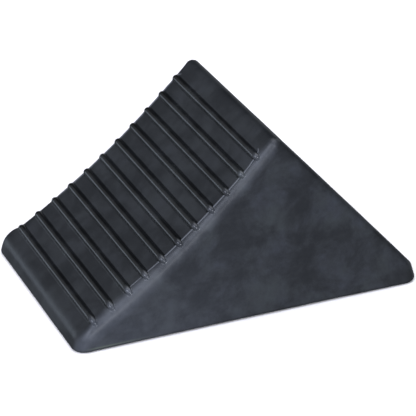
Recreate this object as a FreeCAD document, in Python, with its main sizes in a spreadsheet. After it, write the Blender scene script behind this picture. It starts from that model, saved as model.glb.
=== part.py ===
# Rubber wheel chock: a solid moulded wedge with a dished face that carries a row of grip bars.
#
# Frame: millimetres, +Z up, origin at the middle of the base. The thin toe points to -X, the
# heel to +X, and the bars run along Y. The base lies on Z = 0.

import FreeCAD, Part

import math
import os

import Sketcher

TINY = 1e-6

doc = FreeCAD.newDocument("wheel_chock")


# ---------------------------------------------------------------- driving dimensions

DIMENSIONS = {
    # the wedge, measured to its sharp corners before they are rounded
    "base_length": 201.0,
    "base_width": 127.0,
    "apex_height": 102.0,
    "apex_offset": 15.2,
    "toe_height": 9.7,
    "toe_setback": 2.7,
    "heel_height": 9.8,
    "heel_setback": 2.8,
    "tread_radius": 483.0,
    "side_draft": 2.6,
    # roundings
    "corner_radius": 7.6,
    "edge_radius": 4.7,
    "base_radius": 2.0,
    # grip bars, spread evenly between a plain band at the toe and one at the apex
    "bar_count": 11,
    "toe_band": 11.3,
    "apex_band": 15.3,
    "bar_height": 1.6,
    "bar_width": 5.2,
    "bar_flank": 32.0,
    "bar_crest_radius": 2.0,
    "bar_root": 2.5,
    "bar_end_inset": 1.2,
}

sheet = doc.addObject("Spreadsheet::Sheet", "Sizes")
for row, (alias, value) in enumerate(DIMENSIONS.items(), start=1):
    sheet.set("A%d" % row, alias)
    sheet.set("B%d" % row, str(value))
    sheet.setAlias("B%d" % row, alias)
doc.recompute()


# ---------------------------------------------------------------- worked-out values

# The dished face is one arc from the top of the toe to the apex. Its centre is above it, on
# the line through the middle of the chord, and each bar turns about that centre.
layout = doc.addObject("App::VarSet", "Layout")


def work_out(name, formula, kind="App::PropertyFloat"):
    """A value that follows the sheet."""
    layout.addProperty(kind, name)
    layout.setExpression(name, formula)
    doc.recompute()


work_out("toe_x", "-Sizes.base_length / 2 + Sizes.toe_setback")
work_out("heel_x", "Sizes.base_length / 2 - Sizes.heel_setback")
work_out("run", "Sizes.apex_offset - Layout.toe_x")
work_out("rise", "Sizes.apex_height - Sizes.toe_height")
work_out("chord", "sqrt(Layout.run ^ 2 + Layout.rise ^ 2)")
work_out("reach", "sqrt(Sizes.tread_radius ^ 2 - (Layout.chord / 2) ^ 2)")
work_out("centre_x", "(Layout.toe_x + Sizes.apex_offset) / 2"
                     " - Layout.reach * Layout.rise / Layout.chord")
work_out("centre_z", "(Sizes.toe_height + Sizes.apex_height) / 2"
                     " + Layout.reach * Layout.run / Layout.chord")
work_out("half_sweep", "asin(Layout.chord / (2 * Sizes.tread_radius))", "App::PropertyAngle")
work_out("toe_slope", "atan2(Layout.rise; Layout.run) - Layout.half_sweep", "App::PropertyAngle")
work_out("face_length", "2 * Sizes.tread_radius * Layout.half_sweep / 1 rad")
work_out("bar_pitch", "(Layout.face_length - Sizes.toe_band - Sizes.apex_band)"
                      " / (Sizes.bar_count - 1)")


# ---------------------------------------------------------------- helpers

def origin_plane(body, role):
    """One of a body's own origin planes, found by its role."""
    return next(plane for plane in body.Origin.OriginFeatures if plane.Role == role)


def add_sketch(body, name, role):
    """A sketch on one of a body's origin planes."""
    sketch = body.newObject("Sketcher::SketchObject", name)
    sketch.AttachmentSupport = [(origin_plane(body, role), "")]
    sketch.MapMode = "FlatFace"
    return sketch


def bind(sketch, name, constraint, formula):
    """Adds a named sketch dimension and binds it to the sheet."""
    sketch.addConstraint(constraint)
    sketch.renameConstraint(sketch.ConstraintCount - 1, name)
    sketch.setExpression("Constraints." + name, formula)


def edges_where(feature, test):
    """Names of a feature's edges whose lowest and highest ends pass a test."""
    names = []
    for number, edge in enumerate(feature.Shape.Edges, start=1):
        heights = [vertex.Z for vertex in edge.Vertexes]
        if test(min(heights), max(heights)):
            names.append("Edge%d" % number)
    return names


def faces_where(feature, test):
    """Names of a feature's faces whose outward normal passes a test."""
    return ["Face%d" % number for number, face in enumerate(feature.Shape.Faces, start=1)
            if test(face.normalAt(0, 0))]


def add_fillet(body, base, name, edge_names, radius):
    """Rounds the named edges of the body's last feature."""
    fillet = body.newObject("PartDesign::Fillet", name)
    fillet.Base = (base, edge_names)
    fillet.setExpression("Radius", radius)
    doc.recompute()
    return fillet


# ---------------------------------------------------------------- the wedge

def draw_side_outline(sketch):
    """Toe, dished face, apex, back, heel and base, seen from the side."""
    half = sheet.base_length / 2
    toe_foot = FreeCAD.Vector(-half, 0, 0)
    toe_top = FreeCAD.Vector(layout.toe_x, sheet.toe_height, 0)
    apex = FreeCAD.Vector(sheet.apex_offset, sheet.apex_height, 0)
    heel_top = FreeCAD.Vector(layout.heel_x, sheet.heel_height, 0)
    heel_foot = FreeCAD.Vector(half, 0, 0)

    centre = FreeCAD.Vector(layout.centre_x, layout.centre_z, 0)
    circle = Part.Circle(centre, FreeCAD.Vector(0, 0, 1), sheet.tread_radius)
    from_angle = math.atan2(toe_top.y - centre.y, toe_top.x - centre.x)
    to_angle = math.atan2(apex.y - centre.y, apex.x - centre.x)

    toe = sketch.addGeometry(Part.LineSegment(toe_foot, toe_top))
    tread = sketch.addGeometry(Part.ArcOfCircle(circle, from_angle, to_angle))
    back = sketch.addGeometry(Part.LineSegment(apex, heel_top))
    heel = sketch.addGeometry(Part.LineSegment(heel_top, heel_foot))
    base = sketch.addGeometry(Part.LineSegment(heel_foot, toe_foot))

    start, end = 1, 2
    x_axis = -1
    for first, second in ((toe, tread), (tread, back), (back, heel), (heel, base), (base, toe)):
        sketch.addConstraint(Sketcher.Constraint("Coincident", first, end, second, start))
    sketch.addConstraint(Sketcher.Constraint("PointOnObject", toe, start, x_axis))
    sketch.addConstraint(Sketcher.Constraint("PointOnObject", base, start, x_axis))

    places = (
        ("toe_foot_x", "DistanceX", toe, start, -half, "-Sizes.base_length / 2"),
        ("toe_top_x", "DistanceX", toe, end, toe_top.x, "Layout.toe_x"),
        ("toe_top_z", "DistanceY", toe, end, toe_top.y, "Sizes.toe_height"),
        ("apex_x", "DistanceX", back, start, apex.x, "Sizes.apex_offset"),
        ("apex_z", "DistanceY", back, start, apex.y, "Sizes.apex_height"),
        ("heel_top_x", "DistanceX", heel, start, heel_top.x, "Layout.heel_x"),
        ("heel_top_z", "DistanceY", heel, start, heel_top.y, "Sizes.heel_height"),
        ("heel_foot_x", "DistanceX", base, start, half, "Sizes.base_length / 2"),
    )
    for name, kind, line, point, value, formula in places:
        from_origin = Sketcher.Constraint(kind, -1, 1, line, point, value)
        bind(sketch, name, from_origin, formula)
    radius = Sketcher.Constraint("Radius", tread, sheet.tread_radius)
    bind(sketch, "tread_radius", radius, "Sizes.tread_radius")


def make_wedge_body():
    """The solid wedge: drafted sides, rounded corners and edges."""
    body = doc.addObject("PartDesign::Body", "wedge_body")
    body.Label = "wedge_body"
    outline = add_sketch(body, "side_outline", "XZ_Plane")
    draw_side_outline(outline)
    doc.recompute()

    block = body.newObject("PartDesign::Pad", "block")
    block.Profile = outline
    block.Midplane = True
    block.setExpression("Length", "Sizes.base_width")
    doc.recompute()

    # the mould's draft: both sides lean in as they rise from the base
    drafted = body.newObject("PartDesign::Draft", "drafted_sides")
    doc.recompute()
    drafted.Base = (block, faces_where(block, lambda normal: abs(normal.y) > 1 - TINY))
    drafted.NeutralPlane = (block, faces_where(block, lambda normal: normal.z < TINY - 1))
    drafted.Reversed = True
    drafted.setExpression("Angle", "Sizes.side_draft")
    doc.recompute()
    if drafted.Shape.Volume >= block.Shape.Volume:
        raise RuntimeError("the sides lean outwards")

    # the corners stand up from the base, the soft edges run above it, the base edge is on it
    corners = edges_where(drafted, lambda low, high: low < TINY < high)
    rounded_plan = add_fillet(body, drafted, "plan_corners", corners, "Sizes.corner_radius")
    upper = edges_where(rounded_plan, lambda low, high: low > TINY)
    rounded_top = add_fillet(body, rounded_plan, "soft_edges", upper, "Sizes.edge_radius")
    lowest = edges_where(rounded_top, lambda low, high: high < TINY)
    add_fillet(body, rounded_top, "base_edge", lowest, "Sizes.base_radius")
    return body


# ---------------------------------------------------------------- the grip bars

def draw_bar_foot(sketch, half_length):
    """A long slot shape: straight sides with a half circle at each end."""
    half_width = sheet.bar_width / 2
    guess = sheet.base_width / 2 - half_width
    up = FreeCAD.Vector(0, 0, 1)
    far, near = FreeCAD.Vector(0, guess, 0), FreeCAD.Vector(0, -guess, 0)
    left, right = FreeCAD.Vector(-half_width, 0, 0), FreeCAD.Vector(half_width, 0, 0)
    far_circle = Part.Circle(far, up, half_width)
    near_circle = Part.Circle(near, up, half_width)

    far_end = sketch.addGeometry(Part.ArcOfCircle(far_circle, 0, math.pi))
    left_side = sketch.addGeometry(Part.LineSegment(far + left, near + left))
    near_end = sketch.addGeometry(Part.ArcOfCircle(near_circle, math.pi, 2 * math.pi))
    right_side = sketch.addGeometry(Part.LineSegment(near + right, far + right))

    start, end, middle = 1, 2, 3
    origin, y_axis = (-1, 1), -2
    loop = (far_end, left_side, near_end, right_side)
    for first, second in zip(loop, loop[1:] + loop[:1]):
        sketch.addConstraint(Sketcher.Constraint("Tangent", first, end, second, start))
    sketch.addConstraint(Sketcher.Constraint("PointOnObject", far_end, middle, y_axis))
    mirrored = Sketcher.Constraint("Symmetric", far_end, middle, near_end, middle, *origin)
    sketch.addConstraint(mirrored)
    bind(sketch, "end_radius", Sketcher.Constraint("Radius", far_end, half_width),
         "Sizes.bar_width / 2")
    bind(sketch, "end_centre",
         Sketcher.Constraint("DistanceY", *origin, far_end, middle, guess),
         half_length + " - Sizes.bar_width / 2")


def make_bar_blank(number):
    """One bar on its own: rounded ends, sloping flanks, a soft crest and a root to trim."""
    slope, place_x, place_z = "slope_%02d" % number, "x_%02d" % number, "z_%02d" % number
    work_out(slope, "Layout.toe_slope + (Sizes.toe_band + %d * Layout.bar_pitch)"
                    " / Sizes.tread_radius * 1 rad" % (number - 1), "App::PropertyAngle")
    work_out(place_x, "Layout.centre_x + Sizes.tread_radius * sin(Layout.%s)" % slope)
    work_out(place_z, "Layout.centre_z - Sizes.tread_radius * cos(Layout.%s)" % slope)
    half_length = "Sizes.base_width / 2 - Sizes.bar_end_inset" \
                  " - Layout.%s * tan(Sizes.side_draft * 1 deg)" % place_z

    # the blank is drawn flat and then lifted and tilted onto the arc
    body = doc.addObject("PartDesign::Body", "bar_blank_%02d" % number)
    up_slope = FreeCAD.Vector(0, -1, 0)
    body.Placement.Rotation = FreeCAD.Rotation(up_slope, layout.getPropertyByName(slope).Value)
    body.setExpression("Placement.Base.x", "Layout." + place_x)
    body.setExpression("Placement.Base.z", "Layout." + place_z)
    body.setExpression("Placement.Rotation.Angle", "Layout." + slope)

    foot = add_sketch(body, "foot_%02d" % number, "XY_Plane")
    draw_bar_foot(foot, half_length)
    doc.recompute()

    bar = body.newObject("PartDesign::Pad", "bar_%02d" % number)
    bar.Profile = foot
    bar.setExpression("Length", "Sizes.bar_height")
    bar.setExpression("TaperAngle", "-Sizes.bar_flank")
    doc.recompute()

    top = edges_where(bar, lambda low, high: low > sheet.bar_height - TINY)
    rounded = add_fillet(body, bar, "crest_%02d" % number, top, "Sizes.bar_crest_radius")

    root = body.newObject("PartDesign::Pad", "root_%02d" % number)
    root.Profile = foot
    root.Reversed = True
    root.setExpression("Length", "Sizes.bar_root")
    doc.recompute()
    if root.Shape.Volume <= rounded.Shape.Volume:
        raise RuntimeError("the root of bar %d adds nothing" % number)
    return body


def make_bar(number, wedge):
    """A bar trimmed to the wedge, so that it sits on the face and over the rounded edges."""
    name = "tread_rib_%02d" % number
    trimmed = doc.addObject("Part::Cut", name)
    trimmed.Label = name
    trimmed.Base = make_bar_blank(number)
    trimmed.Tool = wedge
    return trimmed


wedge_body = make_wedge_body()
bars = [make_bar(number, wedge_body) for number in range(1, int(sheet.bar_count) + 1)]
doc.recompute()


# ---------------------------------------------------------------- check and write

for item in doc.Objects:
    if "Invalid" in item.State or "Error" in item.State:
        raise RuntimeError("%s did not compute" % item.Label)

pieces = [wedge_body] + bars
for piece in pieces:
    if piece.Shape.isNull() or not piece.Shape.isValid():
        raise RuntimeError("%s has no valid shape" % piece.Label)
    if len(piece.Shape.Solids) != 1:
        raise RuntimeError("%s is %d solids" % (piece.Label, len(piece.Shape.Solids)))

os.makedirs("parts", exist_ok=True)
for piece in pieces:
    piece.Shape.exportStep("parts/%s.step" % piece.Label)
    box = piece.Shape.optimalBoundingBox(False)
    print("%-13s %9.1f mm3  x %7.2f %7.2f  y %6.2f %6.2f  z %6.2f %6.2f" % (
        piece.Label, piece.Shape.Volume, box.XMin, box.XMax, box.YMin, box.YMax, box.ZMin, box.ZMax))
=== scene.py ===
# %% [markdown]
# # A moulded rubber wheel chock
#
# The real chock is one heavy block of black rubber, pressed in a polished steel mould. It has
# a dished face for the tyre, a row of grip bars across that face, and soft rounded edges.
# This lesson builds its looks around a fixed CAD model, in metres, with +Z up.

# %% Load the CAD frame
import math

import bpy
import numpy as np
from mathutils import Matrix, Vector


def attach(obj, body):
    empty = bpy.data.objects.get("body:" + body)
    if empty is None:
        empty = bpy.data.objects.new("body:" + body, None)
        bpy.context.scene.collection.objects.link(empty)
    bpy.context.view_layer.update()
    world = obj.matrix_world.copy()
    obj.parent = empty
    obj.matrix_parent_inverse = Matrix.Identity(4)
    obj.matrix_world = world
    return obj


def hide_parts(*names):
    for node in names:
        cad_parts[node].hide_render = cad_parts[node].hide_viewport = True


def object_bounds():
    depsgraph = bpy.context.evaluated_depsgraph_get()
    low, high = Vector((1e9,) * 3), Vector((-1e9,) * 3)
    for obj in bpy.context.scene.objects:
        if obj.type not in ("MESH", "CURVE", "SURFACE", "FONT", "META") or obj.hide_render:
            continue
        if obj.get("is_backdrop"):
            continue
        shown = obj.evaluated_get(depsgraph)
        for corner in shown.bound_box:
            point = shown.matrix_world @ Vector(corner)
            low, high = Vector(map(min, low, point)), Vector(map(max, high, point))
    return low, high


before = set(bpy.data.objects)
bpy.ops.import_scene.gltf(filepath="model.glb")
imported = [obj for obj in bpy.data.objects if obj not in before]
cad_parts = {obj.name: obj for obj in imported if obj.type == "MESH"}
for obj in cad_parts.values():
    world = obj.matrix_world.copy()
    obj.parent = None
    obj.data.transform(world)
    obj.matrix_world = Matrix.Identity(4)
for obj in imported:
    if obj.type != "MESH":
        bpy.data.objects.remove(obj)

cad_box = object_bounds()
print("CAD box in metres:", [round(v, 4) for corner in cad_box for v in corner])

# %% [markdown]
# ## Sizes
#
# The CAD model and this scene share one set of sizes. They are given to the sharp corners of
# the mould, before any edge is rounded, because that is how a mould maker draws them. They
# could be read off the finished block, but a rounding hides where its faces would meet.

# %% Sizes of the wedge
MM = 0.001

BASE_LENGTH = 201 * MM
BASE_WIDTH = 127 * MM
APEX_HEIGHT = 102 * MM
APEX_X = 15.2 * MM
TOE_HEIGHT = 9.7 * MM
TOE_SETBACK = 2.7 * MM
HEEL_HEIGHT = 9.8 * MM
HEEL_SETBACK = 2.8 * MM
TREAD_RADIUS = 483 * MM
SIDE_DRAFT = math.radians(2.6)

TOE_FOOT = Vector((-BASE_LENGTH / 2, 0))
TOE_TOP = Vector((-BASE_LENGTH / 2 + TOE_SETBACK, TOE_HEIGHT))
APEX = Vector((APEX_X, APEX_HEIGHT))
HEEL_TOP = Vector((BASE_LENGTH / 2 - HEEL_SETBACK, HEEL_HEIGHT))
HEEL_FOOT = Vector((BASE_LENGTH / 2, 0))
print("sharp block %.0f x %.0f x %.0f mm" % (BASE_LENGTH / MM, BASE_WIDTH / MM, APEX_HEIGHT / MM))

# %% [markdown]
# The face for the tyre is an arc of a large circle, whose centre hangs in the air above the
# chock. A travel is a distance walked up this arc from the toe. Every place on the face is
# given by its travel, because the bars are spaced evenly along the arc and not along the base.
# A curve object could draw the arc, but a formula also gives its slope at every place.

# %% The arc of the dished face
chord = APEX - TOE_TOP
middle = (APEX + TOE_TOP) / 2
reach = math.sqrt(TREAD_RADIUS ** 2 - (chord.length / 2) ** 2)
DISH_CENTRE = middle + Vector((-chord.y, chord.x)).normalized() * reach
HALF_SWEEP = math.asin(chord.length / (2 * TREAD_RADIUS))
TOE_SLOPE = math.atan2(chord.y, chord.x) - HALF_SWEEP
FACE_LENGTH = 2 * TREAD_RADIUS * HALF_SWEEP


def face_frame(travel):
    """Point, direction up the slope and outward normal, at a travel up the face from the toe."""
    slope = TOE_SLOPE + travel / TREAD_RADIUS
    up_slope = np.array([math.cos(slope), 0, math.sin(slope)])
    normal = np.array([-math.sin(slope), 0, math.cos(slope)])
    centre = np.array([DISH_CENTRE.x, 0, DISH_CENTRE.y])
    return centre - normal * TREAD_RADIUS, up_slope, normal


print("face length %.1f mm, slope %.1f to %.1f degrees" % (
    FACE_LENGTH / MM, math.degrees(TOE_SLOPE), math.degrees(TOE_SLOPE + 2 * HALF_SWEEP)))

# %% [markdown]
# ## Rounded edges
#
# Hot rubber doesn't fill a sharp corner, and a sharp rubber edge would soon tear, so every edge
# of the mould is rounded. The edges beside the dished face are the roundest, and most so at the
# toe. Their radius changes with the place, so it is a function and not a number.

# %% Radii of the edges
CORNER_RADIUS = 7.6 * MM
EDGE_RADIUS = 4.7 * MM
TOE_TOP_RADIUS = 9 * MM
SIDE_RADIUS_TOE = 10.2 * MM
SIDE_RADIUS_APEX = 6.4 * MM
BASE_EDGE_RADIUS = 2.0 * MM
OVER_THE_APEX = (APEX_X - 6 * MM, APEX_X + 8 * MM)
MID_LENGTH = (-20 * MM, 20 * MM)
NEAR_A_SIDE = (BASE_WIDTH / 2 - 22 * MM, BASE_WIDTH / 2 - 8 * MM)


def smooth(value, start, end):
    """Rises gently from 0 to 1 between two values."""
    share = np.clip((value - start) / (end - start), 0, 1)
    return share * share * (3 - 2 * share)


def side_radius(x):
    """Radius of the edge between the dished face and the sides: rounder at the toe."""
    share = np.clip((x - TOE_TOP.x) / (APEX_X - TOE_TOP.x), 0, 1)
    radius = SIDE_RADIUS_TOE + (SIDE_RADIUS_APEX - SIDE_RADIUS_TOE) * share
    return radius + (EDGE_RADIUS - radius) * smooth(x, *OVER_THE_APEX)


def top_edge_radius(points):
    """Radius of the upper edges all round: the toe's own edge is less round than the sides."""
    end_radius = TOE_TOP_RADIUS + (EDGE_RADIUS - TOE_TOP_RADIUS) * smooth(points[:, 0], *MID_LENGTH)
    beside = smooth(np.abs(points[:, 1]), *NEAR_A_SIDE)
    return end_radius + (side_radius(points[:, 0]) - end_radius) * beside


for place, x in (("toe", TOE_TOP.x), ("apex", APEX_X), ("heel", HEEL_TOP.x)):
    print("side edge radius at the %-4s %.1f mm" % (place, side_radius(x) / MM))

# %% [markdown]
# ## Rounding by distance
#
# A bevel modifier struggles where three edges of different roundness meet, as they do at each
# corner of this block. A mould maker rolls a ball cutter along the edges, and the same idea
# can be written down. Every face gives the distance of a point from it, positive outside.
# Each function returns the distances and the directions in which they grow. A flat face is the
# simplest of them.

# %% Flat faces
def unit(*parts):
    """A direction of length one."""
    vector = np.array(parts, float)
    return vector / np.linalg.norm(vector)


def flat_face(points, through, normal):
    """Distance from a flat face through an (x, z) place."""
    place = np.array([through[0], 0, through[1]])
    return (points - place) @ normal, np.tile(normal, (len(points), 1))


TOE_NORMAL = unit(-TOE_HEIGHT, 0, TOE_SETBACK)
origin = np.zeros((1, 3))
depth = -flat_face(origin, TOE_FOOT, TOE_NORMAL)[0][0]
print("the middle of the base is %.1f mm inside the toe's face" % (depth / MM))

# %% [markdown]
# Where two faces meet, the distance is measured from the line that the ball's centre rolls
# along. The same rule turned inside out fills an inner corner, which the bars need at their
# feet.

# %% Rounded and filled corners
def round_corner(first, second, radius):
    """What lies inside both, with a ball of this radius rolled along the corner between them."""
    (d1, g1), (d2, g2) = first, second
    lean = np.sum(g1 * g2, axis=1)
    square = np.maximum(1 - lean ** 2, 1e-9)
    u, v = d1 + radius, d2 + radius
    share1, share2 = (u - lean * v) / square, (v - lean * u) / square
    arm = share1[:, None] * g1 + share2[:, None] * g2
    length = np.maximum(np.linalg.norm(arm, axis=1), 1e-12)
    rolled = (share1 > 0) & (share2 > 0)
    distance = np.where(rolled, length - radius, np.maximum(d1, d2))
    growth = np.where(rolled[:, None], arm / length[:, None], np.where((d1 > d2)[:, None], g1, g2))
    return distance, growth


def fill_corner(first, second, radius):
    """What lies inside either, with the inner corner filled by a fillet of this radius."""
    (d1, g1), (d2, g2) = first, second
    distance, growth = round_corner((-d1, -g1), (-d2, -g2), radius)
    return -distance, -growth


square_corner = [flat_face(origin, (0, 0), unit(*way)) for way in ((1, 0, 0), (0, 0, 1))]
short = round_corner(*square_corner, EDGE_RADIUS)[0][0]
print("a %.1f mm rounding takes %.2f mm off a square corner" % (EDGE_RADIUS / MM, short / MM))

# %% [markdown]
# The other faces each have a rule of their own. Both sides lean in by the mould's draft, so
# that the rubber comes out of it. The face for the tyre is part of a cylinder. The base has a
# very slight bow, because thick rubber shrinks most in its middle as it cools. A lattice could
# bend a plain box like this, but a rule keeps each face true to its sizes.

# %% Sides, dish and base
BASE_BOW = 0.45 * MM


def side_faces(points):
    """Both drafted sides at once."""
    y, z = points[:, 1], points[:, 2]
    hand = np.where(y < 0, -1.0, 1.0)
    distance = (np.abs(y) - BASE_WIDTH / 2) * math.cos(SIDE_DRAFT) + z * math.sin(SIDE_DRAFT)
    growth = np.stack([0 * y, hand * math.cos(SIDE_DRAFT), 0 * y + math.sin(SIDE_DRAFT)], axis=1)
    return distance, growth


def dished_face(points):
    """The face for the tyre: the rubber lies outside a large cylinder."""
    away = points - np.array([DISH_CENTRE.x, 0, DISH_CENTRE.y])
    away[:, 1] = 0
    far = np.linalg.norm(away, axis=1)
    return TREAD_RADIUS - far, -away / far[:, None]


def base_face(points):
    """The underside, bowed up slightly in the middle of its length."""
    share = 2 * points[:, 0] / BASE_LENGTH
    height = BASE_BOW * (1 - share ** 2)
    steep = -4 * BASE_BOW * share / BASE_LENGTH
    growth = np.stack([steep, 0 * steep, -np.ones(len(points))], axis=1)
    return height - points[:, 2], growth


print("the middle of the base is %.2f mm up" % (base_face(np.zeros((1, 3)))[0][0] / MM))

# %% [markdown]
# The barred part of the face comes from a separate steel insert in the mould. It stands out a
# little, so the barred field lies slightly below the smooth border round it. Three slow waves
# of a few hundredths of a millimetre are cut into every face as well, because no rubber face
# comes out as flat as steel. They only take rubber away, so the block keeps to its CAD box. A
# bump map could show the waves, but the outline would stay as straight as a ruler.

# %% Sunk field and uneven faces
FIELD_SINK = 0.45 * MM
FIELD_DEEPENS = (15 * MM, 70 * MM)
FIELD_RISES = (122 * MM, 137 * MM)
WAVES = (
    (0.030 * MM, 47 * MM, unit(1.0, 0.5, 0.3), 0.4),
    (0.025 * MM, 33 * MM, unit(-0.4, 1.0, 0.6), 1.9),
    (0.020 * MM, 26 * MM, unit(0.7, -0.3, 1.0), 3.1),
)


def field_sink(travel):
    """How far the barred field lies below its border, at a travel up the face."""
    return FIELD_SINK * smooth(travel, *FIELD_DEEPENS) * (1 - smooth(travel, *FIELD_RISES))


def sunk_field(points, solid):
    """Cuts the barred field below its border, which leaves a crisp line on both sides."""
    distance, growth = solid
    field, up = dished_face(points)
    slope = np.arctan2(points[:, 0] - DISH_CENTRE.x, DISH_CENTRE.y - points[:, 2])
    field = field + field_sink((slope - TOE_SLOPE) * TREAD_RADIUS)
    cut = field > distance
    return np.where(cut, field, distance), np.where(cut[:, None], up, growth)


def with_waves(points, solid):
    """The faces' slight unevenness, always inwards."""
    distance, growth = solid
    for height, length, heading, phase in WAVES:
        turn = points @ heading * (2 * math.pi / length) + phase
        distance = distance + height * (1 + np.sin(turn))
        growth = growth + (height * 2 * math.pi / length * np.cos(turn))[:, None] * heading
    return distance, growth


print("faces true to %.2f mm" % (2 * sum(wave[0] for wave in WAVES) / MM))

# %% [markdown]
# Now the faces are put together in the order in which the mould was cut: the plan outline
# first, then the dish and the back, then the edge between them, and the base last. Boolean
# cuts would leave slivers where the roundings run together, and this leaves none. A point
# finds the surface by walking along the direction in which its distance shrinks.

# %% The whole wedge
HEEL_NORMAL = unit(HEEL_HEIGHT, 0, HEEL_SETBACK)
BACK_NORMAL = unit(APEX_HEIGHT - HEEL_HEIGHT, 0, HEEL_TOP.x - APEX_X)
WALKING_STEPS = 12


def wedge(points):
    """Distance of each point from the surface of the block."""
    toe = flat_face(points, TOE_FOOT, TOE_NORMAL)
    heel = flat_face(points, HEEL_FOOT, HEEL_NORMAL)
    is_toe = points[:, 0] < 0
    ends = (np.where(is_toe, toe[0], heel[0]), np.where(is_toe[:, None], toe[1], heel[1]))
    plan = round_corner(side_faces(points), ends, CORNER_RADIUS)
    back = flat_face(points, APEX, BACK_NORMAL)
    top = round_corner(dished_face(points), back, EDGE_RADIUS)
    upper = round_corner(plan, top, top_edge_radius(points))
    upper = sunk_field(points, upper)
    return with_waves(points, round_corner(upper, base_face(points), BASE_EDGE_RADIUS))


def settle(points, solid):
    """Walks each point onto the surface of a solid. Returns the points and their normals."""
    points = points.copy()
    for _ in range(WALKING_STEPS):
        distance, growth = solid(points)
        points -= (distance / np.sum(growth ** 2, axis=1))[:, None] * growth
    growth = solid(points)[1]
    return points, growth / np.linalg.norm(growth, axis=1)[:, None]


summit = settle(np.array([[APEX_X, 0.0, APEX_HEIGHT]]), wedge)[0][0]
print("the rounded apex is %.2f mm high" % (summit[2] / MM))

# %% [markdown]
# ## The block's mesh
#
# The mesh starts as a sharp-edged block with an orderly grid of points, closer together near
# the edges. One strip of squares runs all round the outline, and each side is closed by rings
# that shrink towards its middle. Then every point walks onto the rounded surface. A voxel
# remesh would do it too, but its points follow no edge, and highlights along the roundings
# would flicker.

# %% Where the grid lines go
EDGE_ZONE = 9 * MM
FINE_STEP = 0.7 * MM
FINE_STEP_ACROSS = 0.6 * MM
FACE_STEP = 2 * MM
COARSE_STEP = 3 * MM


def graded(length, fine_zone, fine_step, coarse_step):
    """Stations from 0 to a length, close together near both ends."""
    fine = np.linspace(0, fine_zone, max(2, round(fine_zone / fine_step) + 1))
    count = max(2, round((length - 2 * fine_zone) / coarse_step) + 1)
    coarse = np.linspace(fine_zone, length - fine_zone, count)
    return np.concatenate([fine[:-1], coarse, length - fine[-2::-1]])


def straight_run(start, end, zone):
    """Stations along a straight stretch of the outline, without its last one."""
    length = (end - start).length
    shares = graded(length, zone, FINE_STEP, COARSE_STEP) / length
    return [start.lerp(end, share) for share in shares[:-1]]


toe = straight_run(TOE_FOOT, TOE_TOP, TOE_HEIGHT / 2)
travels = graded(FACE_LENGTH, EDGE_ZONE, FINE_STEP, FACE_STEP)[:-1]
face = [Vector(face_frame(travel)[0][[0, 2]]) for travel in travels]
back = straight_run(APEX, HEEL_TOP, EDGE_ZONE)
heel = straight_run(HEEL_TOP, HEEL_FOOT, HEEL_HEIGHT / 2)
base = straight_run(HEEL_FOOT, TOE_FOOT, EDGE_ZONE)
outline = np.array([tuple(place) for place in toe + face + back + heel + base])
across = graded(BASE_WIDTH, EDGE_ZONE, FINE_STEP_ACROSS, COARSE_STEP) / (BASE_WIDTH / 2) - 1
rim_rings = np.arange(0.98, 0.75, -0.02)
inner_rings = np.linspace(0.73, 0.08, 11)
rings = np.concatenate([rim_rings, inner_rings])
print("outline %d, across %d, rings %d stations" % (len(outline), len(across), len(rings)))

# %% [markdown]
# The rows of points run from the middle of one side, out to its edge, across the block and in
# to the middle of the other side. Two hubs close the last small openings, so the block is one
# watertight skin. One large face could close each side, but it couldn't follow the waves.

# %% Points and faces of the sharp-edged block
HUB = np.array([outline[:, 0].mean(), APEX_HEIGHT / 3])


def side_width(height):
    """Half the width of the block at a height."""
    return BASE_WIDTH / 2 - height * math.tan(SIDE_DRAFT)


def row_at(flat, sideways):
    """Places of the side view, moved sideways."""
    return np.stack([flat[:, 0], sideways, flat[:, 1]], axis=1)


def block_grid():
    """Points and faces of the sharp-edged block."""
    flats = [HUB + (outline - HUB) * ring for ring in rings]
    rows = [row_at(flat, -side_width(flat[:, 1])) for flat in flats[::-1]]
    rows += [row_at(outline, share * side_width(outline[:, 1])) for share in across]
    rows += [row_at(flat, side_width(flat[:, 1])) for flat in flats]
    count = len(outline)
    faces = []
    for low in range(0, (len(rows) - 1) * count, count):
        for here in range(count):
            after = (here + 1) % count
            faces.append((low + here, low + after, low + count + after, low + count + here))
    last = (len(rows) - 1) * count
    hubs = [[HUB[0], hand * side_width(HUB[1]), HUB[1]] for hand in (-1, 1)]
    for here in range(count):
        after = (here + 1) % count
        faces.append((after, here, last + count))
        faces.append((last + count + 1, last + here, last + after))
    return np.concatenate(rows + [hubs]), faces


points, faces = block_grid()
print("sharp block: %d points, %d faces" % (len(points), len(faces)))

# %% [markdown]
# ## Materials
#
# The chock is a carbon-black rubber, pressed in a polished mould. Carbon black swallows nearly
# all light, so what the eye sees is the soft reflection of the room in a satin skin. Colours
# are given as the hex codes a designer would pick on a screen, and turned to linear once.

# %% Colour and node helpers
SOFT_STEP = {"interpolation_type": "SMOOTHSTEP"}
TIMES = {"operation": "MULTIPLY", "use_clamp": True}
PLUS = {"operation": "ADD", "use_clamp": True}


def from_hex(code):
    """An sRGB hex colour as linear values with alpha."""
    parts = [int(code[i:i + 2], 16) / 255 for i in (1, 3, 5)]
    linear = [p / 12.92 if p <= 0.04045 else ((p + 0.055) / 1.055) ** 2.4 for p in parts]
    return (*linear, 1.0)


def add_node(tree, kind, settings=None, links=None):
    """Adds a node. Settings name its properties or inputs; links feed its inputs.

    A link may be a socket, or a node, which then gives its first output.
    """
    node = tree.nodes.new(kind)
    for name, value in (settings or {}).items():
        if isinstance(name, int) or name in node.inputs:
            node.inputs[name].default_value = value
        else:
            setattr(node, name, value)
    for name, source in (links or {}).items():
        socket = source.outputs[0] if hasattr(source, "outputs") else source
        tree.links.new(socket, node.inputs[name])
    return node


print("rubber black #0e1013 in linear light:", [round(v, 4) for v in from_hex("#0e1013")])

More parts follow.
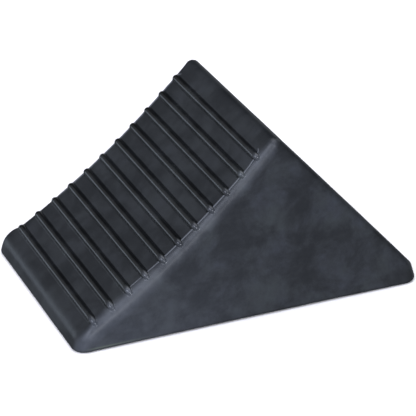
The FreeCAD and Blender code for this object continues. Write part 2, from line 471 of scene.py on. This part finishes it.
# %% [markdown]
# Wax in the rubber slowly blooms to the skin in clouds, about 20 mm across. There the skin is a
# little paler, bluish or greenish, and less glossy. A mottle of about 5 mm breaks the clouds up.
# An image could hold them, but it would stretch or break at the edges. Solid noise runs over
# them without a seam.

# %% Clouds of bloom
CLOUD_SIZE = 21 * MM
MOTTLE_SIZE = 5 * MM
TINT_SIZE = 17 * MM
NOISE_GRAIN = 0.62


def bloom_clouds(tree, where):
    """Broad clouds, the finer mottle, and how much wax has bloomed at each place."""
    clouds = add_node(tree, "ShaderNodeTexNoise", {
        "Scale": 1 / CLOUD_SIZE, "Detail": 10.0, "Roughness": NOISE_GRAIN, "Distortion": 0.3,
    }, {"Vector": where})
    mottle = add_node(tree, "ShaderNodeTexNoise", {
        "Scale": 1 / MOTTLE_SIZE, "Detail": 6.0, "Roughness": NOISE_GRAIN,
    }, {"Vector": where})
    cloudy = add_node(tree, "ShaderNodeMapRange", SOFT_STEP | {"From Min": 0.40, "From Max": 0.66},
                      {"Value": clouds})
    broken = add_node(tree, "ShaderNodeMapRange", SOFT_STEP | {
        "From Min": 0.25, "From Max": 0.75, "To Min": 0.2,
    }, {"Value": mottle})
    return clouds, mottle, add_node(tree, "ShaderNodeMath", TIMES, {0: cloudy, 1: broken})


def bloom_tint(tree, where):
    """Bluish bloom here, greenish bloom there."""
    drift = add_node(tree, "ShaderNodeTexNoise", {
        "Scale": 1 / TINT_SIZE, "Detail": 2.0, "Roughness": NOISE_GRAIN,
    }, {"Vector": where})
    greener = add_node(tree, "ShaderNodeMapRange", SOFT_STEP | {"From Min": 0.35, "From Max": 0.65},
                       {"Value": drift})
    return add_node(tree, "ShaderNodeMixRGB", {
        "Color1": from_hex("#1b1f28"), "Color2": from_hex("#1a2021"),
    }, {"Fac": greener})


print("clouds %.0f mm, mottle %.0f mm" % (CLOUD_SIZE / MM, MOTTLE_SIZE / MM))

# %% [markdown]
# Painted light: the upright faces are painted paler low down and towards the toe, a painted pool
# of light from the floor and the key lamp, and the same paint gives the bars' tips a painted glint.
# It could be painted on by hand, but a product of soft steps in millimetres says plainly where it
# lies: along the length, up the height, and by how upright the skin is.

# %% Painted light low on the upright faces
PAINTED_LIGHT_ALONG = (35 * MM, -95 * MM)
PAINTED_LIGHT_UP = (45 * MM, 0.0)


def how_upright(tree):
    """1 on the sides, 0 on faces that look up or along the block."""
    normal = add_node(tree, "ShaderNodeNewGeometry").outputs["Normal"]
    facing = add_node(tree, "ShaderNodeSeparateXYZ", links={"Vector": normal})
    sideways = add_node(tree, "ShaderNodeMath", {"operation": "ABSOLUTE"}, {0: facing.outputs["Y"]})
    return add_node(tree, "ShaderNodeMapRange", SOFT_STEP | {"From Min": 0.15, "From Max": 0.7},
                    {"Value": sideways})


def painted_ground_light(tree, place, upright, mottle, amount):
    """Painted light on the upright faces, strongest low down and towards the toe."""
    toeward = add_node(tree, "ShaderNodeMapRange", SOFT_STEP | {
        "From Min": PAINTED_LIGHT_ALONG[0], "From Max": PAINTED_LIGHT_ALONG[1],
    }, {"Value": place.outputs["X"]})
    low_down = add_node(tree, "ShaderNodeMapRange", SOFT_STEP | {
        "From Min": PAINTED_LIGHT_UP[0], "From Max": PAINTED_LIGHT_UP[1], "To Min": 0.35,
    }, {"Value": place.outputs["Z"]})
    patchy = add_node(tree, "ShaderNodeMapRange", SOFT_STEP | {
        "From Min": 0.2, "From Max": 0.8, "To Min": 0.6,
    }, {"Value": mottle})
    painted_light = add_node(tree, "ShaderNodeMath", TIMES | {1: amount}, {0: upright})
    for part in (toeward, low_down, patchy):
        painted_light = add_node(tree, "ShaderNodeMath", TIMES, {0: painted_light, 1: part})
    return painted_light


print("dust fades out over %.0f mm of height" % (PAINTED_LIGHT_UP[0] / MM))

# %% [markdown]
# A pale line just above the base, near the toe, is a painted highlight: the floor's reflection
# in the rounded foot, painted into the colour. A bevel there wouldn't change the colour, so the
# line is made like the painted light above, by narrower steps.

# %% The painted glint on the foot
FOOT_GLINT_STEPS = (
    # axis, where the painted glint is nothing, where it is full
    ("Z", 1.6 * MM, 2.2 * MM),
    ("Z", 3.2 * MM, 2.4 * MM),
    ("X", -52 * MM, -84 * MM),
    ("X", -96 * MM, -88 * MM),
)


def painted_foot_glint(tree, place, upright, amount):
    """A painted highlight: a pale line just above the base, near the toe."""
    painted_glint = add_node(tree, "ShaderNodeMath", TIMES | {1: amount}, {0: upright})
    for axis, start, end in FOOT_GLINT_STEPS:
        step = add_node(tree, "ShaderNodeMapRange", SOFT_STEP | {"From Min": start, "From Max": end},
                        {"Value": place.outputs[axis]})
        painted_glint = add_node(tree, "ShaderNodeMath", TIMES, {0: painted_glint, 1: step})
    return painted_glint


print("the scuff reaches %.1f mm up from the ground" % (FOOT_GLINT_STEPS[1][1] / MM))

# %% [markdown]
# The skin doesn't reflect evenly either. With one even gloss it would look like new plastic.
# Oily patches shine more and dry ones less, and fine level scuffs run round the block. Its
# relief is a mottle and a fine grain, the polished mould's own wear. The real grain is too
# fine to be seen, so it is drawn coarser, at 0.9 mm.

# %% Shine and relief
SCUFF_SIZE = 45 * MM
SCUFF_SQUEEZE = 14.0
GRAIN_SIZE = 0.9 * MM


def patchy_shine(tree, where, clouds, mottle):
    """How strongly the skin reflects at each place."""
    level = add_node(tree, "ShaderNodeMapping", {"Scale": (1.0, 1.0, SCUFF_SQUEEZE)},
                     {"Vector": where})
    scuffs = add_node(tree, "ShaderNodeTexNoise", {"Scale": 1 / SCUFF_SIZE, "Detail": 6.0},
                      {"Vector": level})
    oily = add_node(tree, "ShaderNodeMapRange", SOFT_STEP | {"From Min": 0.3, "From Max": 0.7},
                    {"Value": clouds})
    patches = add_node(tree, "ShaderNodeMath", TIMES | {1: 0.55}, {0: oily})
    for pattern, share in ((mottle, 0.30), (scuffs, 0.25)):
        part = add_node(tree, "ShaderNodeMath", TIMES | {1: share}, {0: pattern})
        patches = add_node(tree, "ShaderNodeMath", PLUS, {0: patches, 1: part})
    return add_node(tree, "ShaderNodeMapRange", SOFT_STEP | {
        "From Min": 0.2, "From Max": 0.85, "To Min": 0.32, "To Max": 0.58,
    }, {"Value": patches})


def skin_relief(tree, where, mottle, unevenness):
    """The fine grain, with the mottle's relief on top of it."""
    grain = add_node(tree, "ShaderNodeTexNoise", {
        "Scale": 1 / GRAIN_SIZE, "Detail": 3.0, "Roughness": NOISE_GRAIN,
    }, {"Vector": where})
    fine = add_node(tree, "ShaderNodeBump", {"Strength": 0.22, "Distance": 0.05 * MM},
                    {"Height": grain})
    return add_node(tree, "ShaderNodeBump", {"Strength": unevenness, "Distance": 0.1 * MM},
                    {"Height": mottle, "Normal": fine})


print("level scuffs about %.0f x %.1f mm" % (SCUFF_SIZE / MM, SCUFF_SIZE / SCUFF_SQUEEZE / MM))

# %% [markdown]
# The three rubbers are one compound with different skins. The block's is satin. The bars rub on
# tyres, which polishes them, and their darker colour is painted shade. The mould flash's pale grey
# is a painted highlight. Each could have a recipe of its own, but one shared function keeps them
# one rubber. Rubber has an IOR near 1.5, and its roughness from a polished mould is 0.2 to 0.4.

# %% Moulded rubber
RUBBER_IOR = 1.48


def moulded_rubber(name, skin_colour, gloss, painted_light=0.0, unevenness=0.25):
    """Carbon-black rubber from a polished mould: satin, with clouds of bloom and painted light."""
    material = bpy.data.materials.new(name)
    material.use_nodes = True
    tree = material.node_tree
    tree.nodes.clear()
    where = add_node(tree, "ShaderNodeTexCoord").outputs["Object"]
    place = add_node(tree, "ShaderNodeSeparateXYZ", links={"Vector": where})
    upright = how_upright(tree)
    clouds, mottle, bloom = bloom_clouds(tree, where)

    # little wax stays on the faces that the tyre and the rain clean
    kept = add_node(tree, "ShaderNodeMapRange", SOFT_STEP | {"To Min": 0.25}, {"Value": upright})
    bloom = add_node(tree, "ShaderNodeMath", TIMES, {0: bloom, 1: kept})
    # painted light: the upright faces are painted paler low down and towards the toe
    painted_side_light = painted_ground_light(tree, place, upright, mottle, painted_light)
    # foot is a painted glint: the floor's reflection along the rounded foot, painted into the colour
    foot = painted_foot_glint(tree, place, upright, painted_light)

    colour = add_node(tree, "ShaderNodeMixRGB", {"Color1": from_hex(skin_colour)},
                      {"Fac": bloom, "Color2": bloom_tint(tree, where)})
    # both tints are painted light mixed into the colour: a painted pool of light on the sides and a
    # painted glint along the foot
    for amount, tint in ((painted_side_light, "#2f3237"), (foot, "#40463f")):
        colour = add_node(tree, "ShaderNodeMixRGB", {"Color2": from_hex(tint)},
                          {"Fac": amount, "Color1": colour})
    dulled = add_node(tree, "ShaderNodeMapRange", SOFT_STEP | {
        "From Min": 0.35, "From Max": 0.68, "To Min": gloss - 0.03, "To Max": gloss + 0.08,
    }, {"Value": clouds})
    skin = add_node(tree, "ShaderNodeBsdfPrincipled", {"IOR": RUBBER_IOR}, {
        "Base Color": colour,
        "Specular IOR Level": patchy_shine(tree, where, clouds, mottle),
        "Roughness": dulled,
        "Normal": skin_relief(tree, where, mottle, unevenness),
    })
    add_node(tree, "ShaderNodeOutputMaterial", links={"Surface": skin})
    print("%-22s %d nodes" % (name, len(tree.nodes)))
    return material


# the block's skin carries the painted light: paler upright faces low down and towards the toe, and a
# painted glint along the foot
body_rubber_painted_light = moulded_rubber("moulded_black_rubber_painted_light", "#0e1013", 0.38, painted_light=1.0, unevenness=0.75)
# the bars' darker colour is painted shade for their flanks, and the painted light setting paints a
# glint on their tips
bar_rubber_painted_shade = moulded_rubber("moulded_bar_rubber_painted_shade", "#060708", 0.21, painted_light=1.0)
# the flash's pale grey colour is a painted highlight on the raised line
flash_painted_highlight = moulded_rubber("mould_flash_painted_highlight", "#46474a", 0.3)

# %% [markdown]
# ## The wedge body
#
# The block of rubber itself. Its points walk onto the rounded surface, and the directions found
# there are kept as the mesh's own normals, so that the shading follows the true roundings and
# not the small flat squares.

# %% Build the wedge body
def make_piece(name, points, faces, material, normals=None):
    """A smooth mesh object. Where normals are given, its shading follows them."""
    mesh = bpy.data.meshes.new(name)
    mesh.from_pydata([tuple(p) for p in points], [], faces)
    mesh.update()
    mesh.polygons.foreach_set("use_smooth", [True] * len(mesh.polygons))
    if normals is not None:
        mesh.normals_split_custom_set_from_vertices([tuple(n) for n in normals])
    mesh.materials.append(material)
    piece = bpy.data.objects.new(name, mesh)
    bpy.context.scene.collection.objects.link(piece)
    print("%-14s %6d faces" % (name, len(mesh.polygons)))
    return piece


points, normals = settle(points, wedge)
body_piece = make_piece("rubber_wedge", points, faces, body_rubber_painted_light, normals)
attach(body_piece, "root")
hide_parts("wedge_body")

# %% [markdown]
# ## The grip bars
#
# Each bar is a round-backed ridge. Its crest runs straight across the face, then bends down
# near each side and runs out over the rounded edge like the tip of a ski. A small fillet
# joins it to the face. A curve with a bevel could draw the ridge, but not the fillet. As the
# same kind of distance as the block, the bar gets a fillet that follows the face by itself.

# %% Sizes and distance of a bar
BAR_NAMES = sorted(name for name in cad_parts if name.startswith("tread_rib_"))
TOE_BAND = 11.3 * MM
APEX_BAND = 15.3 * MM
BAR_PITCH = (FACE_LENGTH - TOE_BAND - APEX_BAND) / (len(BAR_NAMES) - 1)
BAR_HEIGHT = 1.6 * MM
CREST_RADIUS = 2.3 * MM
FOOT_FILLET = 0.45 * MM
TIP_TURN_TOE = math.radians(45)
TIP_TURN_APEX = math.radians(38)
STRAIGHT_STOP = 0.98


def bar_ends(travel):
    """Where the crest leaves its straight run, its bend's radius, and the edge it runs out on."""
    place = face_frame(travel)[0]
    edge = float(side_radius(place[0]))
    half = side_width(place[2])
    turn = TIP_TURN_TOE + (TIP_TURN_APEX - TIP_TURN_TOE) * travel / FACE_LENGTH
    straight = half - STRAIGHT_STOP * edge
    tip_out = half - edge * (1 - math.sin(turn)) - straight
    tip_down = BAR_HEIGHT + edge * (1 - math.cos(turn))
    bend = (tip_out ** 2 + tip_down ** 2) / (2 * tip_down)
    return straight, bend, edge, half - edge + edge * turn


def bar_ridge(points, travel):
    """Distance from one bar: a round rod whose ends bend down into the block."""
    place, up_slope, normal = face_frame(travel)
    straight, crest_bend = bar_ends(travel)[:2]
    bend = crest_bend - CREST_RADIUS
    local = points - place
    side_on, height = local @ up_slope, local @ normal - (BAR_HEIGHT - CREST_RADIUS)
    past = np.maximum(np.abs(points[:, 1]) - straight, 0)
    arm = np.hypot(past, height + bend)
    drop = arm - bend
    away = np.hypot(side_on, drop)
    growth = side_on[:, None] * up_slope + (drop * (height + bend) / arm)[:, None] * normal
    growth[:, 1] += drop * np.sign(points[:, 1]) * past / arm
    return away - CREST_RADIUS, growth / away[:, None]


print("%d bars, %.2f mm apart" % (len(BAR_NAMES), BAR_PITCH / MM))

# %% [markdown]
# A bar's mesh is a strip laid over the face and bent round both edges. Across it, the stations
# follow the crest and its two fillets. Along it, they follow the face, and round each edge
# they turn with the ball that rounded it. They need only be near the surface, because they
# walk onto it afterwards.

# %% Stations across and along a bar
TUCKED_BORDER = 0.5 * MM


def bar_section():
    """Stations across a bar as (sideways, height): crest, fillets and a border."""
    rise = BAR_HEIGHT - CREST_RADIUS
    foot = math.sqrt((CREST_RADIUS + FOOT_FILLET) ** 2 - (rise - FOOT_FILLET) ** 2)
    meet = math.atan2(foot, FOOT_FILLET - rise)
    crest = [(CREST_RADIUS * math.sin(a), rise + CREST_RADIUS * math.cos(a))
             for a in np.linspace(0, meet, 9)]
    fillet = [(foot - FOOT_FILLET * math.sin(a), FOOT_FILLET - FOOT_FILLET * math.cos(a))
              for a in np.linspace(meet, 0, 8)[1:]]
    half = crest + fillet + [(foot + TUCKED_BORDER, 0.0)]
    return [(-a, h) for a, h in half[:0:-1]] + half


def over_face(travel, sideways, height):
    """Points over the face at distances from its middle line, carried on round the edges."""
    place, up_slope, normal = face_frame(travel)
    edge = bar_ends(travel)[2]
    draft = np.array([0, math.cos(SIDE_DRAFT), math.sin(SIDE_DRAFT)])
    ball = place - normal * edge
    ball_y = side_width(ball[2]) - edge / math.cos(SIDE_DRAFT)
    made = []
    for way, lift in zip(sideways, height):
        turn = np.clip((abs(way) - ball_y) / edge, 0, math.pi / 2)
        out = normal * math.cos(turn) + draft * math.sin(turn)
        point = ball + (edge + lift) * out
        point[1] += min(abs(way), ball_y)
        made.append(point * (1, -1 if way < 0 else 1, 1))
    return np.array(made)


section = bar_section()
print("a bar is %.1f mm wide at its foot" % (2 * (section[-1][0] - TUCKED_BORDER) / MM))

# %% [markdown]
# Each bar becomes a closed piece of its own, so that it can be lifted out whole. Its top and
# its underside are two grids of points, and a wall round their border joins them. A solidify
# modifier could thicken the top, but its underside would then follow the ridge.

# %% Close two grids into a shell
def shell_faces(tall, long):
    """Faces of two grids of points, one below the other, with a wall round their border."""
    index = np.arange(tall * long).reshape(tall, long)
    under = index.size
    faces = []
    for i in range(tall - 1):
        for j in range(long - 1):
            square = (index[i, j], index[i + 1, j], index[i + 1, j + 1], index[i, j + 1])
            faces.append(square)
            faces.append([corner + under for corner in square[::-1]])
    border = [*index[0, :-1], *index[:-1, -1], *index[-1, :0:-1], *index[:0:-1, 0]]
    for here, after in zip(border, border[1:] + border[:1]):
        faces.append((here, after, after + under, here + under))
    return [tuple(int(corner) for corner in face) for face in faces]


print("a shell of 3 x 3 points has %d faces" % len(shell_faces(3, 3)))

# %% [markdown]
# The top of a bar walks onto the joined surface of block and bar. The block is lowered by a
# hair for this, so that no gap shows. The underside, the border and the far tips are tucked
# into the block, so that no edge shows either.

# %% Build the bars
TIP_OVERRUN = 0.35
TIP_STEP = 0.45 * MM
RUN_STEP = 4 * MM
BURY = 0.015 * MM
BAR_DEPTH = 1.6 * MM
TUCK = 0.4 * MM
FADE_MARGIN = 2 * MM


def make_bar(travel, name):
    """One bar with a closed underside hidden in the block."""
    up_slope = face_frame(travel)[1]
    straight, _, edge, tip = bar_ends(travel)
    reach = tip + TIP_OVERRUN * edge
    sideways = graded(2 * reach, reach - straight + FADE_MARGIN, TIP_STEP, RUN_STEP) - reach
    past = (np.abs(sideways) - straight) / (reach - straight - FADE_MARGIN)
    fade = 1 - np.clip(past, 0, 1) ** 2
    shape = (len(section), len(sideways))

    def joined(places):
        distance, growth = wedge(places)
        return fill_corner((distance + BURY, growth), bar_ridge(places, travel), FOOT_FILLET)

    near = [over_face(travel, sideways, h * fade) + a * up_slope for a, h in section]
    top, normals = settle(np.concatenate(near), joined)
    tucked = np.zeros(shape)
    tucked[[0, -1], :] = TUCK
    tucked[:, [0, -1]] = TUCK
    top = top - tucked.reshape(-1, 1) * normals
    inner = [over_face(travel, sideways, 0 * fade - BAR_DEPTH) + a * up_slope for a, _ in section]
    points = np.concatenate([top, *inner])
    normals = np.concatenate([normals, -normals])
    return make_piece(name, points, shell_faces(*shape), bar_rubber_painted_shade, normals)


for number, rib in enumerate(BAR_NAMES):
    bar_piece = make_bar(TOE_BAND + number * BAR_PITCH, rib.replace("tread_rib", "grip_bar"))
    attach(bar_piece, "root")
    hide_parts(rib)

# %% [markdown]
# ## The witness line
#
# Rubber creeps into the joint round the mould's insert and leaves a hair-thin raised line. The
# insert fits tightly at the toe and under the apex, so the line sinks away there. Its path is a
# rounded rectangle laid on the face, just where the sunk field meets the rounded border.

# %% The path of the line
LINE_TOP = FACE_LENGTH - 11 * MM
LINE_FOOT = 7.5 * MM
LINE_CORNER = 5 * MM
SHALLOWEST = 0.3 * MM


def line_inset(travel):
    """Distance of the line from the sharp side edge: where the sunk field meets the rounding."""
    edge = float(side_radius(face_frame(travel)[0][0]))
    turn = math.acos(1 - max(field_sink(travel), SHALLOWEST) / edge)
    return edge * (1 - math.sin(turn))


def line_place(travel, extra=0.0):
    """A place on the line's +Y side, with its travel."""
    place = face_frame(travel)[0]
    return place + [0, side_width(place[2]) - line_inset(travel) - extra, 0], travel


def line_corner(end, way):
    """The rounded corner towards an end of the line, from its side to its cross run."""
    turns = np.linspace(0, math.pi / 2, 12)[1:-1]
    travels = [end - way * LINE_CORNER * (1 - math.sin(turn)) for turn in turns]
    return [line_place(t, LINE_CORNER * (1 - math.cos(turn))) for t, turn in zip(travels, turns)]


def mirrored(path):
    """The same path on the other side, walked the other way."""
    return [(place * (1, -1, 1), travel) for place, travel in path[::-1]]


def line_path():
    """The closed path of the line: up one side, across, down the other side and back."""
    up = [line_place(t) for t in np.linspace(LINE_FOOT + LINE_CORNER, LINE_TOP - LINE_CORNER, 150)]
    up += line_corner(LINE_TOP, 1)
    foot = line_corner(LINE_FOOT, -1)[::-1]
    top_edge, low_edge = line_place(LINE_TOP, LINE_CORNER)[0], line_place(LINE_FOOT, LINE_CORNER)[0]
    across = [(top_edge * (1, share, 1), LINE_TOP) for share in np.linspace(1, -1, 61)]
    below = [(low_edge * (1, share, 1), LINE_FOOT) for share in np.linspace(-1, 1, 61)]
    return up + across + mirrored(up) + mirrored(foot) + below + foot


path = line_path()
print("the line has %d stations" % len(path))

# %% [markdown]
# A half-round thread is swept along the path. A curve with a bevel could do it, but its height
# has to change along the way. Where its strength falls below nothing, at the toe and across the
# face, the whole thread lies under the skin.

# %% Build the line
LINE_WIDTH = 1.1 * MM
LINE_HEIGHT = 0.34 * MM
LINE_ROOT = -0.3 * MM
THREAD_TURN = 0.55 * math.pi
STRENGTHENS = (20 * MM, 75 * MM)
SIDE_RUN = (50 * MM, 55 * MM)
SUNK_AT_TOE = 0.2
SUNK_ACROSS = 1.3


def make_line():
    """Points and faces of a closed thread laid on the face."""
    centre, normals = settle(np.array([place for place, _ in path]), wedge)
    along = np.roll(centre, -1, axis=0) - np.roll(centre, 1, axis=0)
    along /= np.linalg.norm(along, axis=1)[:, None]
    beside = np.cross(normals, along)
    raised = np.array([float(smooth(travel, *STRENGTHENS)) for _, travel in path])
    strength = (1 + SUNK_AT_TOE) * raised - SUNK_AT_TOE
    strength = strength - SUNK_ACROSS * (1 - smooth(np.abs(centre[:, 1]), *SIDE_RUN))
    turns = np.linspace(-THREAD_TURN, THREAD_TURN, 9)
    thread = [(LINE_WIDTH / 2 * math.sin(a), LINE_HEIGHT * math.cos(a)) for a in turns]
    thread += [(LINE_WIDTH / 3, LINE_ROOT), (-LINE_WIDTH / 3, LINE_ROOT)]
    rows = []
    for a, h in thread:
        lift = h * strength if h > 0 else np.full(len(path), h)
        rows.append(centre + (a * (0.5 + 0.5 * strength))[:, None] * beside + lift[:, None] * normals)
    count, tall = len(path), len(thread)
    faces = []
    for row in range(tall):
        here, up = row * count, (row + 1) % tall * count
        for j in range(count):
            after = (j + 1) % count
            faces.append((here + j, here + after, up + after, up + j))
    return np.concatenate(rows), faces


# the line's pale grey colour is a painted highlight
line_piece = make_piece("witness_line", *make_line(), flash_painted_highlight)
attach(line_piece, "root")

# %% [markdown]
# ## Studio
#
# The chock stands on a pale floor that runs out of view on all sides. It could curve up behind
# the block, but a flat one is simpler and never shows. The floor is kept out of reflections,
# because black rubber would show its far edge as a hard line.

# %% Floor
FLOOR_REACH = 6.0
floor_material = bpy.data.materials.new("pale_floor")
floor_material.use_nodes = True
floor_skin = floor_material.node_tree.nodes["Principled BSDF"]
floor_skin.inputs["Base Color"].default_value = from_hex("#f7f0e8")
floor_skin.inputs["Roughness"].default_value = 0.9

corners = [(x * FLOOR_REACH, y * FLOOR_REACH, 0) for x, y in ((-1, -1), (1, -1), (1, 1), (-1, 1))]
floor_mesh = bpy.data.meshes.new("floor")
floor_mesh.from_pydata(corners, [], [(0, 1, 2, 3)])
floor_mesh.materials.append(floor_material)
floor = bpy.data.objects.new("floor", floor_mesh)
bpy.context.scene.collection.objects.link(floor)
floor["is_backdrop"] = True
floor.visible_glossy = False
print("floor %.0f x %.0f m" % (2 * FLOOR_REACH, 2 * FLOOR_REACH))

# %% [markdown]
# Soft boxes draw the shape of a black object, because all that shows is their reflection. The
# key and the overhead box light the block. The rear and left strips run along the toe's
# rounded top and the toe side of each bar. The small front box puts the glint on the bars'
# tips, and the right box lifts the back from the dark. Bare lamps would cost less time, but
# they would show as hard white dots.

# %% Soft boxes
SOFT_BOXES = (
    # name, place, width and height, watts, colour
    ("key_softbox", (-1.7, -0.8, 1.5), (0.8, 0.8), 16, "#e6edff"),
    ("overhead_softbox", (0.1, -0.1, 2.6), (2.0, 2.0), 30, "#f0f4ff"),
    ("rear_strip", (-1.67, 1.86, 0.16), (1.5, 0.62), 5.0, "#dcebff"),
    ("left_strip", (-2.4, 0.05, 0.3), (0.8, 0.8), 3, "#e0ecff"),
    ("front_softbox", (-0.66, -1.85, 1.36), (0.24, 0.24), 10, "#f2f6ff"),
    ("right_softbox", (2.1, 0.9, 1.3), (1.2, 1.2), 5.5, "#eef4ff"),
)

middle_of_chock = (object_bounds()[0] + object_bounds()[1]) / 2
for name, place, size, watts, colour in SOFT_BOXES:
    lamp = bpy.data.lights.new(name, "AREA")
    lamp.shape = "RECTANGLE"
    lamp.size, lamp.size_y = size
    lamp.energy = watts
    lamp.color = from_hex(colour)[:3]
    light = bpy.data.objects.new(name, lamp)
    light.location = place
    aim = Vector(middle_of_chock) - Vector(place)
    light.rotation_euler = aim.to_track_quat("-Z", "Y").to_euler()
    bpy.context.scene.collection.objects.link(light)
    print("%-17s %4.1f W from %.1f m away" % (name, watts, aim.length))

# %% [markdown]
# The room round the chock is a paper sweep, bright on the side of the large window light and
# dark opposite, and it gives the satin sides their slow change of tone. A panorama image could
# do this, but a ramp over the angle from the window can be set tone by tone.

# %% The sweep
SWEEP_HEADING = (-0.5, -0.75, 0.43)
SWEEP = (
    # cosine of the angle to the window, brightness, colour
    (-1.0, 0.02, "#f4f8ff"),
    (-0.95, 0.06, "#f4f8ff"),
    (-0.89, 0.6, "#f4f8ff"),
    (-0.82, 0.34, "#f4f8ff"),
    (-0.7, 0.02, "#ffffff"),
    (-0.45, 0.04, "#ffffff"),
    (-0.22, 0.54, "#f4f9ff"),
    (0.17, 0.8, "#e9f1ff"),
    (0.58, 1.45, "#e2eaff"),
    (0.96, 2.0, "#e0e9ff"),
)
BRIGHTEST = max(level for _, level, _ in SWEEP)

world = bpy.data.worlds.new("studio")
world.use_nodes = True
tree = world.node_tree
heading = add_node(tree, "ShaderNodeTexCoord").outputs["Generated"]
facing = add_node(tree, "ShaderNodeVectorMath", {"operation": "DOT_PRODUCT", 1: SWEEP_HEADING},
                  {0: heading})
share = add_node(tree, "ShaderNodeMapRange", {"From Min": -1.0, "From Max": 1.0},
                 {"Value": facing.outputs["Value"]})
sweep = add_node(tree, "ShaderNodeValToRGB", links={"Fac": share})
sweep.color_ramp.interpolation = "EASE"
stops = sweep.color_ramp.elements
while len(stops) < len(SWEEP):
    stops.new(0.5)
for stop, (cosine, level, tint) in zip(stops, SWEEP):
    stop.position = (cosine + 1) / 2
    stop.color = [part * level / BRIGHTEST for part in from_hex(tint)[:3]] + [1]
print("the room is %.0f times brighter at the window than opposite" % (BRIGHTEST / SWEEP[0][1]))

# %% [markdown]
# A little light comes up from the ground as well, as it does from any pale floor. The floor
# could give it by itself if black rubber could see it. It can't, so the room gives it, and it
# only fills in where the sweep is darker.

# %% The glow of the ground
GROUND_GLOW = 0.26
up = add_node(tree, "ShaderNodeSeparateXYZ", links={"Vector": heading})
below = add_node(tree, "ShaderNodeMapRange", {"From Min": 0.02, "From Max": -0.15},
                 {"Value": up.outputs["Z"]})
glow = [part * GROUND_GLOW / BRIGHTEST for part in from_hex("#dfe9f4")[:3]] + [1]
room = add_node(tree, "ShaderNodeMixRGB", {"blend_type": "LIGHTEN", "Color2": glow},
                {"Color1": sweep, "Fac": below})
backdrop = tree.nodes["Background"]
tree.links.new(room.outputs["Color"], backdrop.inputs["Color"])
backdrop.inputs["Strength"].default_value = BRIGHTEST
bpy.context.scene.world = world
bpy.context.scene.view_settings.view_transform = "Standard"
print("the ground glows at %.0f%% of the window" % (100 * GROUND_GLOW / BRIGHTEST))

# %% [markdown]
# A long lens from above the toe's near corner shows the face, the toe and one side at once, and
# keeps their edges nearly parallel. A short lens from nearby would swell the near corner.

# %% Camera
CAMERA_PLACE = Vector((-0.4357, -1.0180, 0.6087))
CAMERA_HEADING = Vector((0.35045, 0.81613, -0.45947))
lens = bpy.data.cameras.new("camera")
lens.lens = 197.36
lens.sensor_width = 36
camera = bpy.data.objects.new("camera", lens)
camera.location = CAMERA_PLACE
camera.rotation_euler = CAMERA_HEADING.to_track_quat("-Z", "Y").to_euler()
bpy.context.scene.collection.objects.link(camera)
bpy.context.scene.camera = camera
print("camera %.2f m from the chock" % (CAMERA_PLACE - Vector(middle_of_chock)).length)

# %% [markdown]
# Last, the finished looks are measured against the CAD model. They have to stay inside its box,
# so that the part still fits wherever the CAD model fits.

# %% Compare the two boxes and finish
visual_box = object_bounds()
for label, box in (("CAD", cad_box), ("visual", visual_box)):
    print(label, [round(v / MM, 2) for corner in box for v in corner])
